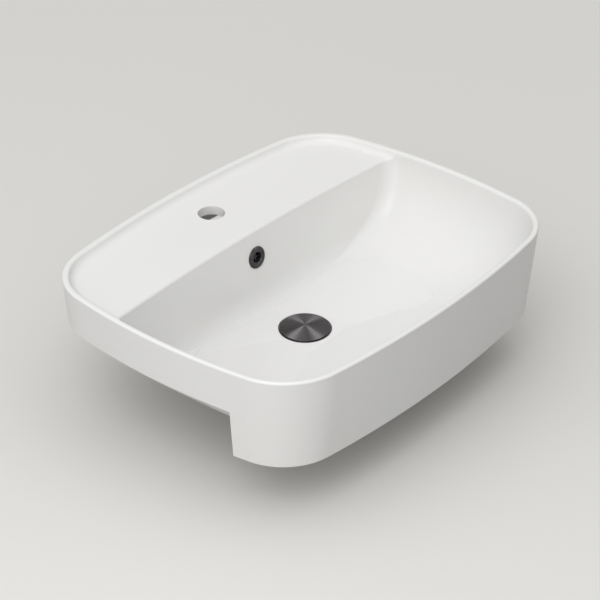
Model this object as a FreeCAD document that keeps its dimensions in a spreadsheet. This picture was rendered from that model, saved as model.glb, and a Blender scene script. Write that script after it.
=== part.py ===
"""Semi recessed basin with its overflow trim and push-open waste, in millimetres.

+X is right and +Y is back for a person at the basin, +Z is up. The origin is on the flat
underside of the rear skirt, halfway through its wall, where the basin sits on the bench.
The skirt's front part is deeper: it hangs in front of the bench as an apron.
"""
import FreeCAD, Part
import math
import os

import Sketcher
from FreeCAD import Placement, Rotation, Vector

SIZES = {
    # Ceramic outline, seen from above: eight arcs that run into one another.
    "basin_width": 550.0,
    "basin_depth": 435.0,
    "side_bow_radius": 850.0,
    "front_bow_radius": 1400.0,
    "back_bow_radius": 1450.0,
    "front_corner_radius": 88.0,
    "back_corner_radius": 88.0,
    # Heights below the rim, and how far the skirt leans in over the full height.
    "rear_height": 58.0,
    "front_height": 122.0,
    "side_draft": 9.5,
    "front_draft": 11.6,
    "back_draft": 7.0,
    "apron_length": 110.0,
    "ceramic_wall": 12.0,
    # Rim and tap ledge.
    "rim_width": 8.0,
    "rim_outer_rounding": 2.5,
    "rim_inner_rounding": 3.5,
    "ledge_drop": 10.0,
    "ledge_length": 133.0,
    "ledge_wall_draft": 3.0,
    "ledge_cove_radius": 9.0,
    "tap_hole_diameter": 35.0,
    "tap_hole_setback": 63.0,
    # A relief in the apron's back faces, clear of the bowl where the bench's edge comes.
    "relief_half_width": 260.0,
    "relief_height": 14.0,
    "relief_depth": 1.5,
    # Bowl: a steep back wall with a cove at its foot, and quarter-oval walls at the sides
    # and the front that end where the floor planes begin.
    "bowl_wall": 11.0,
    "shell_half_width": 259.0,
    "back_wall_slope": 0.14,
    "cove_foot_setback": 45.0,
    "cove_stretch": 1.5,
    "wall_depth": 109.0,
    "side_oval_depth": 109.4,
    "front_oval_depth": 111.0,
    "oval_half_width": 158.0,
    "oval_front_reach": 79.5,
    "floor_bow_radius": 3000.0,
    "bowl_back_corner": 20.0,
    "floor_back_corner": 50.0,
    "floor_front_corner": 50.0,
    # Floor: planes that fall towards a level patch round the waste. Each starts this far
    # from the waste's axis and rises by its slope.
    "floor_depth": 119.5,
    "side_plane_start": 40.0,
    "side_plane_slope": 0.087,
    "front_plane_start": 40.0,
    "front_plane_slope": 0.173,
    "back_plane_start": 26.0,
    "back_plane_slope": 0.0965,
    "back_plane_turn": 60.5,
    # Waste opening in the ceramic.
    "waste_from_front": 217.5,
    "waste_hole_diameter": 46.0,
    "boss_diameter": 84.0,
    "boss_thickness": 33.0,
    "flange_recess_depth": 4.5,
    "flange_recess_clearance": 1.0,
    # Overflow: a hole in the back wall, a chamber behind it and a passage to the waste.
    "overflow_drop": 46.5,
    "overflow_hole_diameter": 24.0,
    "overflow_wall": 12.0,
    "trim_seat_depth": 0.1,
    "trim_seat_clearance": 0.4,
    "chamber_width": 32.0,
    "chamber_gap": 14.0,
    "chamber_headroom": 15.0,
    "duct_wall": 9.0,
    "passage_height": 12.0,
    # Overflow trim.
    "trim_diameter": 29.0,
    "trim_thickness": 2.4,
    "trim_bore": 14.0,
    "trim_barrel_diameter": 23.2,
    "trim_barrel_wall": 1.8,
    "trim_barrel_length": 8.0,
    "clip_wall": 1.3,
    "clip_barb": 3.1,
    "clip_barb_length": 2.6,
    "clip_rib": 1.8,
    # Waste body and what clamps it.
    "flange_diameter": 66.0,
    "flange_thickness": 2.2,
    "tail_diameter": 41.9,
    "tail_wall": 2.0,
    "tail_length": 72.0,
    "trap_thread_length": 20.0,
    "tail_groove_width": 1.5,
    "tail_groove_depth": 0.8,
    "tail_slot_width": 12.0,
    "tail_slot_height": 14.0,
    "tail_slot_drop": 9.0,
    "flange_gasket_thickness": 1.5,
    "lower_washer_thickness": 5.0,
    "lower_washer_diameter": 66.0,
    "lower_washer_spigot": 3.0,
    "slip_washer_thickness": 1.5,
    "backnut_height": 10.0,
    "backnut_across_flats": 58.0,
    # Plug.
    "cap_diameter": 64.4,
    "cap_edge": 2.2,
    "cap_rise": 3.5,
    "cap_gap": 0.5,
    "core_height": 8.2,
    "core_diameter": 34.4,
    "seal_thickness": 3.2,
    # Push cartridge in the middle of the waste body.
    "plug_travel": 10.0,
    "push_clearance": 4.0,
    "spindle_diameter": 8.0,
    "spindle_end_diameter": 6.0,
    "lock_nut_height": 4.0,
    "lock_nut_across_flats": 13.0,
    "housing_diameter": 19.0,
    "housing_wall": 1.9,
    "sleeve_flange": 2.0,
    "sleeve_spigot": 8.0,
    "rotor_height": 7.5,
    "clip_ring_thickness": 0.8,
    "clip_ring_diameter": 10.0,
    "spring_height": 20.0,
    "spring_wire": 1.0,
    "spring_diameter": 12.6,
    "spring_turns": 8.0,
    "spring_end_pitch": 1.5,
    "spider_drop": 30.0,
    "spider_height": 8.0,
    "spider_hub_wall": 2.5,
    "spider_rib": 4.0,
    # Fits, per side.
    "slide_fit": 0.05,
    "loose_fit": 0.1,
    "seal_fit": 0.15,
    "stop_gap": 0.5,
    "shaft_play": 0.2,
}

# The bowl's sections run round its oval walls in even steps, as far as this angle, and then
# round the back wall's cove.
WALL_END = 84
WALL_STEPS = 14
COVE_STEPS = 6
# How far cutting shapes run past the faces that they cut.
PAST = 10.0
# The spring: arcs to a turn, points to a turn where its gaps are measured, and the small
# share of a turn over which its slope is taken.
QUARTERS = 4
SAMPLES = 60
NUDGE = 0.01
# Nearer than this, two things touch.
TOUCH = 0.001
# A face whose normal rises less than this is a wall.
WALL_NORMAL = 0.9

os.makedirs("parts", exist_ok=True)
doc = FreeCAD.newDocument("SemiRecessedBasin")
sheet = doc.addObject("Spreadsheet::Sheet", "Sizes")
for row, (size_name, size_value) in enumerate(SIZES.items(), start=1):
    sheet.set(f"A{row}", size_name)
    sheet.set(f"B{row}", str(size_value))
    sheet.setAlias(f"B{row}", size_name)
doc.recompute()


def size(name):
    """The expression that reads one cell of the sheet."""
    return f"Sizes.{name}"


def half(name):
    """The expression for half of one cell, such as a radius from a diameter."""
    return f"(Sizes.{name} / 2)"


def value(expression):
    """The number that an expression gives now."""
    return float(FreeCAD.Units.Quantity(str(probe.evalExpression(str(expression)))).Value)


# ---------------------------------------------------------------- places that pieces share
probe = doc.addObject("App::FeaturePython", "probe")
RIM = size("rear_height")
APRON_FOOT = "(Sizes.rear_height - Sizes.front_height)"
BACK_EDGE = "(Sizes.back_draft * Sizes.rear_height / Sizes.front_height + Sizes.ceramic_wall / 2)"
FRONT_EDGE = f"({BACK_EDGE} - Sizes.basin_depth)"
MIDDLE = f"({BACK_EDGE} - Sizes.basin_depth / 2)"
BENCH_EDGE = f"({FRONT_EDGE} + Sizes.apron_length)"
LEDGE_EDGE = f"({BACK_EDGE} - Sizes.ledge_length)"
WASTE_Y = f"({FRONT_EDGE} + Sizes.waste_from_front)"
TAP_Y = f"({BACK_EDGE} - Sizes.tap_hole_setback)"


def below(depth):
    """The height that lies a depth below the rim."""
    return f"(Sizes.rear_height - ({depth}))"


SEAT_DEPTH = "(Sizes.floor_depth + Sizes.flange_recess_depth)"
BOSS_DEPTH = f"({SEAT_DEPTH} + Sizes.boss_thickness)"
BLOCK_DEPTH = f"(Sizes.floor_depth + Sizes.bowl_wall + {PAST})"
WALL_LEAN = "sqrt(1 + Sizes.back_wall_slope ^ 2)"
OVERFLOW_Y = (
    f"({LEDGE_EDGE} - Sizes.back_wall_slope * (Sizes.overflow_drop - Sizes.ledge_drop)"
    f" + Sizes.trim_seat_depth * {WALL_LEAN})"
)
CHAMBER_FRONT = f"({OVERFLOW_Y} + Sizes.overflow_wall * {WALL_LEAN})"
CHAMBER_BACK = f"({CHAMBER_FRONT} + Sizes.chamber_gap)"
CHAMBER_TOP = below("Sizes.overflow_drop - Sizes.chamber_headroom")
PASSAGE_FLOOR = below(f"{BOSS_DEPTH} - Sizes.duct_wall")
PASSAGE_ROOF = f"({PASSAGE_FLOOR} + Sizes.passage_height)"


# ---------------------------------------------------------------- sketch and feature helpers
def plane_of(body, role):
    """One of a body's own origin planes."""
    for feature in body.Origin.OriginFeatures:
        if feature.Role == role:
            return feature
    raise ValueError(role)


def new_body(name, height="0", depth="0"):
    """A body whose own frame stands at a place on the basin's middle plane."""
    body = doc.addObject("PartDesign::Body", name)
    body.Label = name
    body.setExpression("Placement.Base.y", depth)
    body.setExpression("Placement.Base.z", height)
    return body


def new_sketch(body, name, role, offset="0"):
    """A sketch on an origin plane of the body, moved along the plane's normal."""
    sketch = body.newObject("Sketcher::SketchObject", name)
    sketch.AttachmentSupport = (plane_of(body, role), [""])
    sketch.MapMode = "FlatFace"
    sketch.setExpression("AttachmentOffset.Base.z", offset)
    return sketch


def bind(sketch, kind, places, expression):
    """A driving dimension between two points, or on one curve, tied to the sheet."""
    number = sketch.addConstraint(Sketcher.Constraint(kind, *places, value(expression)))
    sketch.setExpression(f"Constraints[{number}]", expression)


def place(sketch, kind, geometry, point, expression):
    """Ties a point's distance from the sketch's origin, on either side of it."""
    if value(expression) >= 0:
        bind(sketch, kind, (-1, 1, geometry, point), expression)
    else:
        bind(sketch, kind, (geometry, point, -1, 1), f"-({expression})")


def polygon(body, name, role, points, offset="0"):
    """A closed straight-sided profile whose every corner is tied to the sheet."""
    sketch = new_sketch(body, name, role, offset)
    corners = [Vector(value(x), value(y), 0) for x, y in points]
    count = len(corners)
    for index in range(count):
        sketch.addGeometry(Part.LineSegment(corners[index], corners[(index + 1) % count]))
    for index in range(count):
        sketch.addConstraint(Sketcher.Constraint("Coincident", index, 2, (index + 1) % count, 1))
    for index, (x, y) in enumerate(points):
        place(sketch, "DistanceX", index, 1, x)
        place(sketch, "DistanceY", index, 1, y)
    return sketch


def circle(body, name, offset, centre_y, radius):
    """A circle on the middle plane, at a height."""
    sketch = new_sketch(body, name, "XY_Plane", offset)
    centre = Vector(0, value(centre_y), 0)
    sketch.addGeometry(Part.Circle(centre, Vector(0, 0, 1), value(radius)))
    sketch.addConstraint(Sketcher.Constraint("PointOnObject", 0, 3, -2))
    bind(sketch, "Radius", (0,), radius)
    place(sketch, "DistanceY", 0, 3, centre_y)
    return sketch


def arc_centre(first, first_reach, second, second_reach, to_front):
    """Where two reaches from two centres meet, on the front or the back side."""
    between = second - first
    gap = between.Length
    along = (first_reach ** 2 - second_reach ** 2 + gap ** 2) / (2 * gap)
    across = math.sqrt(first_reach ** 2 - along ** 2)
    unit = between / gap
    normal = Vector(-unit.y, unit.x, 0)
    meets = [first + unit * along + normal * across, first + unit * along - normal * across]
    meets.sort(key=lambda point: point.y)
    return meets[0] if to_front else meets[1]


def outline(body, name, height, shape):
    """A bowed rectangle of eight tangent arcs, mirrored about the middle plane.

    shape holds expressions: half_width, front, back, middle (the side arcs' level), side,
    front_bow and back_bow (bow radii), front_corner and back_corner (corner radii).
    """
    sketch = new_sketch(body, name, "XY_Plane", height)
    now = {key: value(expression) for key, expression in shape.items()}
    side = Vector(now["half_width"] - now["side"], now["middle"], 0)
    front = Vector(0, now["front"] + now["front_bow"], 0)
    back = Vector(0, now["back"] - now["back_bow"], 0)
    front_corner = arc_centre(
        side, now["side"] - now["front_corner"], front, now["front_bow"] - now["front_corner"], True
    )
    back_corner = arc_centre(
        side, now["side"] - now["back_corner"], back, now["back_bow"] - now["back_corner"], False
    )

    def touch(centre, radius, corner):
        ray = corner - centre
        return centre + ray * (radius / ray.Length)

    def mirrored(point):
        return Vector(-point.x, point.y, 0)

    side_front = touch(side, now["side"], front_corner)
    side_back = touch(side, now["side"], back_corner)
    back_end = touch(back, now["back_bow"], back_corner)
    front_end = touch(front, now["front_bow"], front_corner)
    arcs = (
        (side, now["side"], side_front, side_back),
        (back_corner, now["back_corner"], side_back, back_end),
        (back, now["back_bow"], back_end, mirrored(back_end)),
        (mirrored(back_corner), now["back_corner"], mirrored(back_end), mirrored(side_back)),
        (mirrored(side), now["side"], mirrored(side_back), mirrored(side_front)),
        (mirrored(front_corner), now["front_corner"], mirrored(side_front), mirrored(front_end)),
        (front, now["front_bow"], mirrored(front_end), front_end),
        (front_corner, now["front_corner"], front_end, side_front),
    )
    for centre, radius, start, end in arcs:
        first = math.atan2(start.y - centre.y, start.x - centre.x)
        last = math.atan2(end.y - centre.y, end.x - centre.x)
        if last < first:
            last += 2 * math.pi
        base = Part.Circle(centre, Vector(0, 0, 1), radius)
        sketch.addGeometry(Part.ArcOfCircle(base, first, last))
    count = len(arcs)
    for index in range(count):
        sketch.addConstraint(Sketcher.Constraint("Tangent", index, 2, (index + 1) % count, 1))
    for index in (2, 6):
        sketch.addConstraint(Sketcher.Constraint("PointOnObject", index, 3, -2))
    for right, left in ((0, 4), (1, 3), (7, 5)):
        sketch.addConstraint(Sketcher.Constraint("Equal", right, left))
    radii = ((0, "side"), (1, "back_corner"), (2, "back_bow"), (6, "front_bow"), (7, "front_corner"))
    for index, key in radii:
        bind(sketch, "Radius", (index,), shape[key])
    place(sketch, "DistanceX", 0, 3, f"({shape['half_width']}) - ({shape['side']})")
    place(sketch, "DistanceX", 4, 3, f"({shape['side']}) - ({shape['half_width']})")
    place(sketch, "DistanceY", 0, 3, shape["middle"])
    place(sketch, "DistanceY", 4, 3, shape["middle"])
    place(sketch, "DistanceY", 2, 3, f"({shape['back']}) - ({shape['back_bow']})")
    place(sketch, "DistanceY", 6, 3, f"({shape['front']}) + ({shape['front_bow']})")
    return sketch


def loft(body, kind, name, sketches, ruled=True):
    """An additive or subtractive loft through sketches."""
    feature = body.newObject(f"PartDesign::{kind}Loft", name)
    feature.Profile = sketches[0]
    feature.Sections = sketches[1:]
    feature.Ruled = ruled
    return feature


def pocket(body, name, sketch, length, both_ways=False, reverse=False):
    """Cuts a sketch into the body and makes sure that something went."""
    before = body.Tip.Shape.Volume
    feature = body.newObject("PartDesign::Pocket", name)
    feature.Profile = sketch
    feature.Midplane = both_ways
    feature.Reversed = reverse
    feature.setExpression("Length", length)
    doc.recompute()
    if body.Tip.Shape.Volume > before - TOUCH:
        raise ValueError(f"{name} cuts nothing")
    return feature


def pad(body, name, sketch, length, both_ways=False, reverse=False):
    """Raises a sketch into a solid."""
    feature = body.newObject("PartDesign::Pad", name)
    feature.Profile = sketch
    feature.Midplane = both_ways
    feature.Reversed = reverse
    feature.setExpression("Length", length)
    return feature


def rounded(body, name, test, radius, kind="Fillet"):
    """Rounds or chamfers every edge of the body so far that passes the test."""
    doc.recompute()
    shape = body.Tip.Shape
    edges = [f"Edge{number}" for number, edge in enumerate(shape.Edges, start=1) if test(edge)]
    if not edges:
        raise ValueError(f"{name} finds no edge")
    base = body.Tip
    feature = body.newObject(f"PartDesign::{kind}", name)
    feature.Base = (base, edges)
    feature.setExpression("Radius" if kind == "Fillet" else "Size", radius)
    return feature


def turned(name, points, height=below(SEAT_DEPTH), depth=WASTE_Y):
    """A piece turned about its own upright axis, from a profile of radius and height."""
    body = new_body(name, height, depth)
    profile = polygon(body, f"{name}_profile", "XZ_Plane", points)
    spin = body.newObject("PartDesign::Revolution", f"{name}_turning")
    spin.Profile = profile
    spin.ReferenceAxis = (profile, ["V_Axis"])
    spin.Angle = 360
    doc.recompute()
    return body


def ring_pattern(body, name, feature, copies):
    """Repeats a feature round the body's upright axis."""
    doc.recompute()
    pattern = body.newObject("PartDesign::PolarPattern", name)
    pattern.Originals = [feature]
    pattern.Axis = (plane_of(body, "Z_Axis"), [""])
    pattern.Angle = 360
    pattern.Occurrences = copies
    body.Tip = pattern
    doc.recompute()
    return pattern


def middle_of(edge):
    """The point halfway along an edge."""
    return edge.valueAt((edge.FirstParameter + edge.LastParameter) / 2)


def lies_at(edge, height):
    """Whether an edge lies flat at a height."""
    box = edge.BoundBox
    return abs(box.ZMin - height) < TOUCH and abs(box.ZMax - height) < TOUCH


# ---------------------------------------------------------------- outlines of the ceramic
def inset(side, front, back):
    """The basin's outline, moved in by three amounts."""
    return {
        "half_width": f"Sizes.basin_width / 2 - ({side})",
        "front": f"{FRONT_EDGE} + ({front})",
        "back": f"{BACK_EDGE} - ({back})",
        "middle": MIDDLE,
        "side": f"Sizes.side_bow_radius - ({side})",
        "front_bow": f"Sizes.front_bow_radius - ({front})",
        "back_bow": f"Sizes.back_bow_radius - ({back})",
        "front_corner": f"Sizes.front_corner_radius - ({front})",
        "back_corner": f"Sizes.back_corner_radius - ({back})",
    }


def skirt_inset(depth, extra="0"):
    """The leaning skirt's outline at a depth, moved in by an extra amount."""
    share = f"({depth}) / Sizes.front_height"
    return inset(
        f"Sizes.side_draft * {share} + {extra}",
        f"Sizes.front_draft * {share} + {extra}",
        f"Sizes.back_draft * {share} + {extra}",
    )


def blend(first, last, share):
    """Part of the way from one expression to another."""
    return f"({first} + ({last} - {first}) * {share})"


def back_line(depth, grown):
    """Where the bowl's straight back wall stands at a depth, grown outward."""
    return f"({LEDGE_EDGE} + {grown} - Sizes.back_wall_slope * ({depth} - Sizes.ledge_drop))"


def cove_foot(grown):
    """Where the cove reaches the floor's level."""
    return f"({WASTE_Y} + Sizes.cove_foot_setback + {grown})"


def cove_lean():
    """The back wall's slope as the stretched cove meets it, and the length it stands for."""
    slope = "(Sizes.back_wall_slope * Sizes.cove_stretch)"
    return slope, f"sqrt(1 + {slope} ^ 2)"


def cove_radius(grown):
    """The level radius of the cove between the back wall and the floor."""
    full_depth = f"(Sizes.floor_depth + {grown})"
    slope, lean = cove_lean()
    return f"(({back_line(full_depth, grown)} - {cove_foot(grown)}) / ({lean} - {slope}))"


def back_reach(depth, grown):
    """Where the back of the bowl is at a depth: on the straight wall, or round the cove."""
    radius = cove_radius(grown)
    height = f"({radius} * Sizes.cove_stretch)"
    full_depth = f"(Sizes.floor_depth + {grown})"
    slope, lean = cove_lean()
    if value(depth) < value(f"{full_depth} - {height} * (1 - {slope} / {lean})"):
        return back_line(depth, grown)
    rise = f"(({depth} - {full_depth} + {height}) / {height})"
    return f"({cove_foot(grown)} + {radius} * sqrt(abs(1 - {rise} ^ 2)))"


def oval_reach(rim, bottom, depth, oval_depth):
    """How far out a quarter-oval wall stands at a depth, between its rim and its bottom."""
    return f"({bottom} + ({rim} - {bottom}) * sqrt(abs(1 - ({depth} / {oval_depth}) ^ 2)))"


def bowl_section(depth, share, grown):
    """Height and outline of the bowl at a depth; share is how far round its corners are."""
    rim_side = f"(Sizes.basin_width / 2 - Sizes.rim_width + {grown})"
    rim_front = f"({FRONT_EDGE} + Sizes.rim_width - {grown})"
    side_bottom = size("oval_half_width")
    front_bottom = f"({WASTE_Y} - Sizes.oval_front_reach)"
    side_depth = f"(Sizes.side_oval_depth + {grown})"
    front_depth = f"(Sizes.front_oval_depth + {grown})"
    rim_side_bow = "(Sizes.side_bow_radius - Sizes.rim_width)"
    rim_front_bow = "(Sizes.front_bow_radius - Sizes.rim_width)"
    rim_corner = "(Sizes.front_corner_radius - Sizes.rim_width)"
    wall_end = f"(Sizes.wall_depth + {grown})"
    wall_part = wall_end if value(depth) > value(wall_end) else depth
    shape = {
        "half_width": oval_reach(rim_side, side_bottom, wall_part, side_depth),
        "front": oval_reach(rim_front, front_bottom, wall_part, front_depth),
        "back": back_reach(depth, grown),
        "middle": MIDDLE,
        "side": blend(rim_side_bow, size("floor_bow_radius"), share),
        "front_bow": blend(rim_front_bow, size("floor_bow_radius"), share),
        "back_bow": size("floor_bow_radius"),
        "front_corner": blend(rim_corner, size("floor_front_corner"), share),
        "back_corner": blend(size("bowl_back_corner"), size("floor_back_corner"), share),
    }
    return below(depth), shape


# ---------------------------------------------------------------- the ceramic basin
def bowl_form(name, grown):
    """The space that the bowl encloses, grown outward: oval walls, cove and floor planes."""
    body = new_body(name)
    wall_end = f"(Sizes.wall_depth + {grown})"
    walls = []
    for step in range(WALL_STEPS + 1):
        angle = f"({WALL_END} * {step} / {WALL_STEPS} * 1 deg)"
        depth = f"({wall_end} * sin({angle}) / sin({WALL_END} deg))"
        height, shape = bowl_section(depth, f"(1 - cos({angle}))", grown)
        walls.append(outline(body, f"{name}_wall_{step}", height, shape))
    loft(body, "Additive", f"{name}_walls", walls, ruled=False)
    doc.recompute()

    cove_height = f"({cove_radius(grown)} * Sizes.cove_stretch)"
    full_depth = f"(Sizes.floor_depth + {grown})"
    share = f"(1 - cos({WALL_END} deg))"
    whole_turn = f"acos(1 - ({full_depth} - {wall_end}) / {cove_height})"
    coves = [walls[-1]]
    for step in range(1, COVE_STEPS + 1):
        turn = f"({whole_turn} * {COVE_STEPS - step} / {COVE_STEPS})"
        depth = f"({full_depth} - {cove_height} * (1 - cos({turn})))"
        height, shape = bowl_section(depth, share, grown)
        coves.append(outline(body, f"{name}_cove_{step}", height, shape))
    loft(body, "Additive", f"{name}_cove", coves, ruled=False)
    doc.recompute()
    cut_floor_planes(body, name, grown)
    return body


def cut_floor_planes(body, name, grown):
    """Takes what lies under the floor's planes away from the bowl's form."""
    floor = below(f"Sizes.floor_depth + {grown}")
    reach = "Sizes.basin_width"
    sides = "Sizes.side_plane_slope"
    wedge = [
        (size("side_plane_start"), floor),
        (reach, f"{floor} + {sides} * ({reach} - Sizes.side_plane_start)"),
        (reach, f"{floor} - {PAST}"),
        (size("side_plane_start"), f"{floor} - {PAST}"),
    ]
    mirrored = [(f"-({x})", z) for x, z in reversed(wedge)]
    for side, corners in (("right", wedge), ("left", mirrored)):
        profile = polygon(body, f"{name}_{side}_plane_profile", "XZ_Plane", corners)
        pocket(body, f"{name}_{side}_plane", profile, f"2 * {reach}", both_ways=True)

    front = f"({WASTE_Y} - Sizes.front_plane_start)"
    far = f"({WASTE_Y} - {reach})"
    rise = f"Sizes.front_plane_slope * ({reach} - Sizes.front_plane_start)"
    wedge = [
        (front, floor),
        (far, f"{floor} + {rise}"),
        (far, f"{floor} - {PAST}"),
        (front, f"{floor} - {PAST}"),
    ]
    profile = polygon(body, f"{name}_front_plane_profile", "YZ_Plane", wedge)
    pocket(body, f"{name}_front_plane", profile, f"2 * {reach}", both_ways=True)

    rise = f"Sizes.back_plane_slope * ({reach} - Sizes.back_plane_start)"
    wedge = [
        (size("back_plane_start"), "0"),
        (reach, rise),
        (reach, f"-{PAST}"),
        (size("back_plane_start"), f"-{PAST}"),
    ]
    for side, turn in (("right", "Sizes.back_plane_turn"), ("left", "180 - Sizes.back_plane_turn")):
        profile = polygon(body, f"{name}_back_{side}_plane_profile", "XZ_Plane", wedge)
        profile.AttachmentOffset = Placement(Vector(), Rotation(Vector(0, 1, 0), 1))
        profile.setExpression("AttachmentOffset.Rotation.Angle", f"({turn}) * 1 deg")
        profile.setExpression("AttachmentOffset.Base.y", floor)
        profile.setExpression("AttachmentOffset.Base.z", f"-({WASTE_Y})")
        pocket(body, f"{name}_back_{side}_plane", profile, f"2 * {reach}", both_ways=True)


def make_underside():
    """What is cut from below: the skirt's inside, the bench's space and all under the apron."""
    body = new_body("underside_hollow")
    ceiling = "(Sizes.ledge_drop + Sizes.ceramic_wall)"
    wall = size("ceramic_wall")
    mouth = outline(body, "hollow_mouth", below(BLOCK_DEPTH), skirt_inset(BLOCK_DEPTH, wall))
    roof = outline(body, "hollow_roof", below(ceiling), skirt_inset(ceiling, wall))
    loft(body, "Additive", "hollow_block", [mouth, roof])
    foot = below(f"{BLOCK_DEPTH} + {PAST}")
    ahead = f"({BACK_EDGE} + {PAST})"
    behind = f"({FRONT_EDGE} - {PAST})"
    corners = [
        (behind, foot),
        (ahead, foot),
        (ahead, "0"),
        (BENCH_EDGE, "0"),
        (BENCH_EDGE, APRON_FOOT),
        (behind, APRON_FOOT),
    ]
    open_space = polygon(body, "open_space_profile", "YZ_Plane", corners)
    pad(body, "open_space", open_space, f"Sizes.basin_width + {PAST}", both_ways=True)
    relief_front = f"({BENCH_EDGE} - Sizes.relief_depth)"
    relief = [
        (relief_front, "-Sizes.relief_height"),
        (BENCH_EDGE, "-Sizes.relief_height"),
        (BENCH_EDGE, "0"),
        (relief_front, "0"),
    ]
    relief_profile = polygon(body, "relief_profile", "YZ_Plane", relief)
    pad(body, "apron_relief", relief_profile, "2 * Sizes.relief_half_width", both_ways=True)
    doc.recompute()
    boolean(body, "Cut", "underside_less_bowl", bowl_form("bowl_shell", size("bowl_wall")))

    edge = f"(Sizes.basin_width / 2 + {PAST})"
    strip = [
        (size("shell_half_width"), BENCH_EDGE),
        (edge, BENCH_EDGE),
        (edge, ahead),
        (size("shell_half_width"), ahead),
    ]
    mirrored = [(f"-({x})", y) for x, y in reversed(strip)]
    for side, corners in (("right", strip), ("left", mirrored)):
        profile = polygon(body, f"bench_{side}_profile", "XY_Plane", corners)
        pad(body, f"bench_{side}", profile, f"-({APRON_FOOT})", reverse=True)
    doc.recompute()
    return body


def boolean(body, kind, name, tool):
    """Joins another body to this one, cuts it off or keeps what both share."""
    feature = body.newObject("PartDesign::Boolean", name)
    feature.Type = kind
    feature.setObjects([tool])
    doc.recompute()
    return feature


def make_skirt_and_bowl(body):
    """The leaning block, the tap ledge, the bowl and the roundings between them."""
    rim = outline(body, "rim_outline", RIM, skirt_inset("0"))
    foot = outline(body, "block_foot_outline", below(BLOCK_DEPTH), skirt_inset(BLOCK_DEPTH))
    loft(body, "Additive", "skirt", [foot, rim])

    top_inset = size("rim_width")
    foot_inset = "Sizes.rim_width + Sizes.ledge_wall_draft"
    ledge_level = below("Sizes.ledge_drop")
    recess_top = outline(body, "recess_top", RIM, inset(top_inset, top_inset, top_inset))
    recess_foot = outline(
        body, "recess_foot", ledge_level, inset(foot_inset, foot_inset, foot_inset)
    )
    loft(body, "Subtractive", "ledge_recess", [recess_top, recess_foot])
    rounded(
        body, "ledge_cove", lambda edge: lies_at(edge, value(ledge_level)), "Sizes.ledge_cove_radius"
    )

    bowl = bowl_form("bowl_space", "0")
    bowl_void = bowl.Shape.Shells[0]
    boolean(body, "Cut", "bowl", bowl)

    skirt_faces = body.getObject("skirt").Shape.Faces
    skirt_walls = [face for face in skirt_faces if abs(face.normalAt(0, 0).z) < WALL_NORMAL]
    rim_height = value(RIM)
    ledge_height = value(ledge_level)

    def outer(edge):
        point = Part.Vertex(middle_of(edge))
        reach = min(wall.distToShape(point)[0] for wall in skirt_walls)
        return lies_at(edge, rim_height) and reach < TOUCH

    def inner(edge):
        if lies_at(edge, rim_height):
            return not outer(edge)
        if edge.BoundBox.ZMin < ledge_height - TOUCH:
            return False
        return bowl_void.distToShape(Part.Vertex(middle_of(edge)))[0] < TOUCH

    rounded(body, "rim_and_ledge_rounding", inner, "Sizes.rim_inner_rounding")
    rounded(body, "rim_outer_edge", outer, "Sizes.rim_outer_rounding")


def make_under_parts(body, hollow):
    """Opens the underside and adds what hangs below the bowl."""
    boolean(body, "Cut", "underside_opening", hollow)
    boss_radius = half("boss_diameter")
    boss_foot = circle(body, "boss_foot", below(BOSS_DEPTH), WASTE_Y, boss_radius)
    boss_top = circle(body, "boss_top", below(SEAT_DEPTH), WASTE_Y, boss_radius)
    loft(body, "Additive", "waste_boss", [boss_foot, boss_top])

    back = f"({CHAMBER_BACK} + Sizes.duct_wall)"
    top = f"({CHAMBER_TOP} + Sizes.duct_wall)"
    shell_y = f"({LEDGE_EDGE} + Sizes.bowl_wall / 2)"
    toe_y = f"({LEDGE_EDGE} - Sizes.bowl_wall)"
    duct = [
        (WASTE_Y, below(BOSS_DEPTH)),
        (back, below(BOSS_DEPTH)),
        (back, top),
        (shell_y, top),
        (toe_y, below("Sizes.wall_depth")),
        (toe_y, below(SEAT_DEPTH)),
        (WASTE_Y, below(SEAT_DEPTH)),
    ]
    duct_profile = polygon(body, "duct_profile", "YZ_Plane", duct)
    pad(body, "overflow_duct", duct_profile, "Sizes.chamber_width + 2 * Sizes.duct_wall", True)
    doc.recompute()


def make_waste_opening(body):
    """The flange's recess in the floor and the waste hole."""
    recess_radius = "Sizes.flange_diameter / 2 + Sizes.flange_recess_clearance"
    floor_level = below("Sizes.floor_depth")
    over_planes = f"({floor_level} + Sizes.flange_recess_depth)"
    seat = circle(body, "flange_seat_circle", over_planes, WASTE_Y, recess_radius)
    pocket(body, "flange_recess", seat, "2 * Sizes.flange_recess_depth")
    hole = circle(body, "waste_hole_circle", floor_level, WASTE_Y, half("waste_hole_diameter"))
    pocket(body, "waste_hole", hole, f"{BOSS_DEPTH} - Sizes.floor_depth + {PAST}")


def bore_back_wall(body, name, radius, reach):
    """A round cut square to the back wall, from a reach behind the trim's seat to the front."""
    before = body.Tip.Shape.Volume
    hole = body.newObject("PartDesign::SubtractiveCylinder", name)
    hole.AttachmentSupport = (plane_of(body, "XY_Plane"), [""])
    hole.MapMode = "FlatFace"
    hole.AttachmentOffset = Placement(Vector(), Rotation(Vector(1, 0, 0), 90))
    lean = "atan(Sizes.back_wall_slope)"
    hole.setExpression("AttachmentOffset.Rotation.Angle", f"90 deg - {lean}")
    hole.setExpression("AttachmentOffset.Base.y", f"{OVERFLOW_Y} + {reach} * cos({lean})")
    hole.setExpression(
        "AttachmentOffset.Base.z", f"{below('Sizes.overflow_drop')} - {reach} * sin({lean})"
    )
    hole.setExpression("Radius", radius)
    hole.setExpression("Height", f"{reach} + Sizes.overflow_hole_diameter / 2")
    doc.recompute()
    if body.Tip.Shape.Volume > before - TOUCH:
        raise ValueError(f"{name} cuts nothing")


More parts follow.
